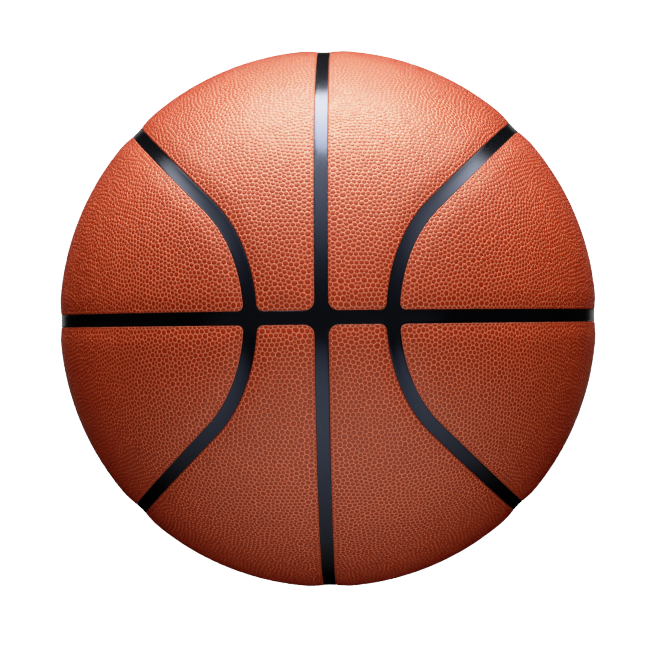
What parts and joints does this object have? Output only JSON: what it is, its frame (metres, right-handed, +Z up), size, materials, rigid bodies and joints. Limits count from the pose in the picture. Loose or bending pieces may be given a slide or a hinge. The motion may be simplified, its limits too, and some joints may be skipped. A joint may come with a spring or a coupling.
{
  "type": "basketball",
  "caption": "Inflated ball with pebbled composite cover panels set between raised black rubber ribs over a wound bladder, with a needle valve at the back.",
  "frame": {"origin": "middle of the ball", "axes": "+Z up, -Y towards the crossing of the ribs that faces the viewer, +Y out through the valve, +X to the viewer's right"},
  "size_m": [0.238, 0.2376, 0.238],
  "materials": {
    "panel_composite": "pebble-grained composite leather, satin",
    "backing_sponge": "closed-cell sponge sheet, matt",
    "rib_rubber": "moulded black rubber, satin",
    "winding_nylon": "latex-dipped nylon thread",
    "bladder_butyl": "butyl rubber, matt",
    "valve_rubber": "moulded rubber, satin"
  },
  "bodies": {
    "ball": {"side_panel_upper_right": "panel_composite", "side_panel_lower_right": "panel_composite", "side_panel_lower_left": "panel_composite", "side_panel_upper_left": "panel_composite", "centre_panel_upper_right": "panel_composite", "centre_panel_lower_right": "panel_composite", "centre_panel_lower_left": "panel_composite", "centre_panel_upper_left": "panel_composite", "side_backing_upper_right": "backing_sponge", "side_backing_lower_right": "backing_sponge", "side_backing_lower_left": "backing_sponge", "side_backing_upper_left": "backing_sponge", "centre_backing_upper_right": "backing_sponge", "centre_backing_lower_right": "backing_sponge", "centre_backing_lower_left": "backing_sponge", "centre_backing_upper_left": "backing_sponge", "ribbed_carcass": "rib_rubber", "thread_winding": "winding_nylon", "bladder": "bladder_butyl", "valve_housing": "valve_rubber"},
    "valve_plug": {"valve_plug": "valve_rubber"}
  },
  "joints": [
    {"name": "valve_plug_slide", "type": "slide", "parent": "ball", "child": "valve_plug", "axis": [0, 1, 0], "range_m": [0, 0.02]}
  ]
}
